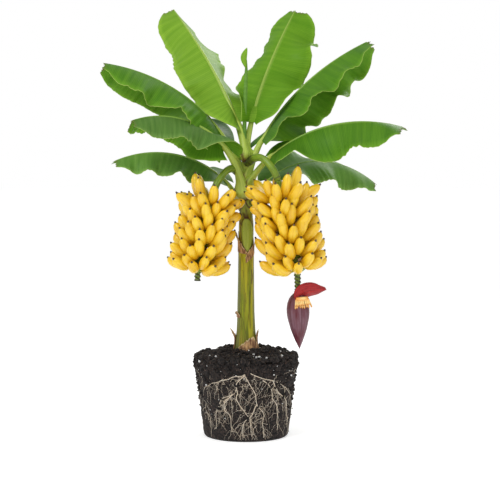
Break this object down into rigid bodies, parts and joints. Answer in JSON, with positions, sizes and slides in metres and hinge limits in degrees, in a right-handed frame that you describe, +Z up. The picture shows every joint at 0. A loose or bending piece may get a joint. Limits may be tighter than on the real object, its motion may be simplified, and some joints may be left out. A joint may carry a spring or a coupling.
{
  "type": "banana plant",
  "caption": "Fruiting banana plant standing on its root ball, with paddle leaves, bunches of ripe fruit and a hanging flower bud.",
  "frame": {"origin": "middle of the root ball's flat underside", "axes": "+Z up along the pseudostem, +X to the side of the flower bud, +Y to the back"},
  "size_m": [1.4354, 0.8885, 2.0879],
  "materials": {
    "soil": "dark crumbly soil with pale roots",
    "stem": "smooth ribbed sheaths, satin",
    "leaf_stalk": "smooth, satin",
    "leaf": "ribbed leaf, satin",
    "fruit_stalk": "smooth with ring scars, satin",
    "fruit": "ripe peel, satin",
    "flower_bud": "ribbed bracts with a grey bloom",
    "bract": "smooth, satin",
    "male_flower": "waxy, satin",
    "dried_sheath": "dry and fibrous"
  },
  "bodies": {
    "root": {"root_ball": "soil", "pseudostem": "stem", "leaf_1_stalk": "leaf_stalk", "leaf_1_blade": "leaf", "leaf_2_stalk": "leaf_stalk", "leaf_2_blade": "leaf", "leaf_3_stalk": "leaf_stalk", "leaf_3_blade": "leaf", "leaf_4_stalk": "leaf_stalk", "leaf_4_blade": "leaf", "leaf_5_stalk": "leaf_stalk", "leaf_5_blade": "leaf", "leaf_6_stalk": "leaf_stalk", "leaf_6_blade": "leaf", "leaf_7_stalk": "leaf_stalk", "leaf_7_blade": "leaf", "leaf_8_stalk": "leaf_stalk", "leaf_8_blade": "leaf", "rolled_leaf": "leaf", "bunch_1_stalk": "fruit_stalk", "bunch_1_axis": "fruit_stalk", "bunch_1_hand_1": "fruit", "bunch_1_hand_2": "fruit", "bunch_1_hand_3": "fruit", "bunch_1_hand_4": "fruit", "bunch_1_hand_5": "fruit", "bunch_1_hand_6": "fruit", "bunch_2_stalk": "fruit_stalk", "bunch_2_axis": "fruit_stalk", "bunch_2_hand_1": "fruit", "bunch_2_hand_2": "fruit", "bunch_2_hand_3": "fruit", "bunch_2_hand_4": "fruit", "bunch_2_hand_5": "fruit", "bunch_2_hand_6": "fruit", "flower_bud": "flower_bud", "bract": "bract", "male_flowers": "male_flower", "dried_sheath_1": "dried_sheath", "dried_sheath_2": "dried_sheath", "dried_sheath_3": "dried_sheath", "dried_sheath_4": "dried_sheath", "dried_sheath_5": "dried_sheath", "dried_sheath_6": "dried_sheath"}
  },
  "joints": []
}
